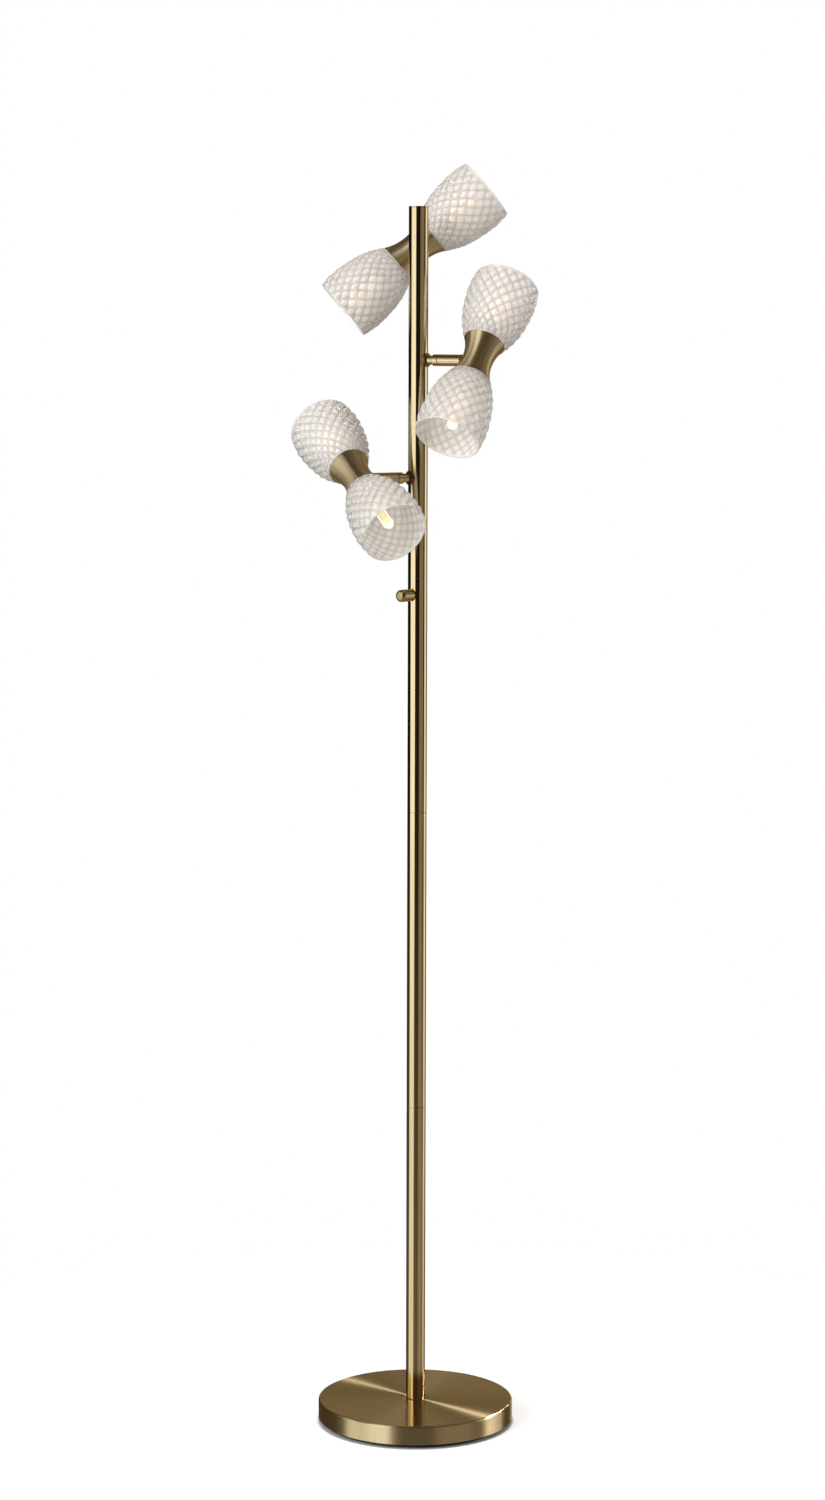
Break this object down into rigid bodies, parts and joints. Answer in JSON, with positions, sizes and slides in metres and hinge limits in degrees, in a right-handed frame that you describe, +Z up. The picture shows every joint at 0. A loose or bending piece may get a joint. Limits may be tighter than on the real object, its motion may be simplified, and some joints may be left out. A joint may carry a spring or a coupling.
{
  "type": "tree floor lamp",
  "caption": "Slim brass pole on a round weighted base, with short arms carrying double-ended swivelling heads with pressed glass bell shades.",
  "frame": {"origin": "on the floor at the middle of the round base, under the pole", "axes": "+Z up along the pole, -Y towards the viewer of the picture, +X to the viewer's right"},
  "size_m": [0.3146, 0.2937, 1.6336],
  "materials": {
    "antique_brass": "brushed and lacquered",
    "dark_brass": "dark patina",
    "pressed_glass": "clear, pressed scale pattern outside, smooth inside",
    "lamp_glass": "clear capsule, warm lamp",
    "porcelain": "unglazed",
    "black_iron": "painted black",
    "black_rubber": "matte",
    "black_plastic": "moulded",
    "cable_sheath": "smooth sheath",
    "zinc_steel": "zinc plated"
  },
  "bodies": {
    "root": {"arm_nuts": "zinc_steel", "arm_saddles": "dark_brass", "base_cover": "antique_brass", "base_nut_and_washer": "zinc_steel", "base_rod": "zinc_steel", "base_weight": "black_iron", "cord_inlet": "black_rubber", "foot_pad": "black_rubber", "foot_plug": "zinc_steel", "friction_washers": "black_plastic", "pole_cable": "cable_sheath", "pole_cap": "antique_brass", "pole_couplers": "zinc_steel", "pole_lower": "antique_brass", "pole_middle": "antique_brass", "pole_upper": "antique_brass", "stop_screws": "zinc_steel", "switch_body": "black_plastic", "switch_nut": "antique_brass", "swivel_base_low": "antique_brass", "swivel_base_middle": "antique_brass", "swivel_base_top": "antique_brass"},
    "switch_knob": {"switch_knob": "antique_brass", "switch_shaft": "zinc_steel"},
    "head_top": {"arm_tube_top": "antique_brass", "bracket_top": "zinc_steel", "bulb_top_down": "lamp_glass", "bulb_top_up": "lamp_glass", "glass_clamps_top": "zinc_steel", "head_nut_top": "zinc_steel", "head_shell_top": "antique_brass", "lampholder_top_down": "porcelain", "lampholder_top_up": "porcelain", "shade_top_down": "pressed_glass", "shade_top_up": "pressed_glass", "spindle_top": "zinc_steel"},
    "head_middle": {"arm_tube_middle": "antique_brass", "bracket_middle": "zinc_steel", "bulb_middle_down": "lamp_glass", "bulb_middle_up": "lamp_glass", "glass_clamps_middle": "zinc_steel", "head_nut_middle": "zinc_steel", "head_shell_middle": "antique_brass", "lampholder_middle_down": "porcelain", "lampholder_middle_up": "porcelain", "shade_middle_down": "pressed_glass", "shade_middle_up": "pressed_glass", "spindle_middle": "zinc_steel"},
    "head_low": {"arm_tube_low": "antique_brass", "bracket_low": "zinc_steel", "bulb_low_down": "lamp_glass", "bulb_low_up": "lamp_glass", "glass_clamps_low": "zinc_steel", "head_nut_low": "zinc_steel", "head_shell_low": "antique_brass", "lampholder_low_down": "porcelain", "lampholder_low_up": "porcelain", "shade_low_down": "pressed_glass", "shade_low_up": "pressed_glass", "spindle_low": "zinc_steel"}
  },
  "joints": [
    {"name": "head_swivel_top", "type": "hinge", "parent": "root", "child": "head_top", "pos_m": [0, 0, 1.524], "axis": [-0.061, 0.9981, 0], "range_deg": [-85, 50]},
    {"name": "head_swivel_middle", "type": "hinge", "parent": "root", "child": "head_middle", "pos_m": [0, 0, 1.384], "axis": [0.8616, -0.5075, 0], "range_deg": [-90, 90]},
    {"name": "head_swivel_low", "type": "hinge", "parent": "root", "child": "head_low", "pos_m": [0, 0, 1.235], "axis": [-0.887, -0.4617, 0], "range_deg": [-85, 45]},
    {"name": "switch_turn", "type": "hinge", "parent": "root", "child": "switch_knob", "pos_m": [0, 0, 1.086], "axis": [-0.6691, -0.7431, 0], "continuous": true}
  ]
}
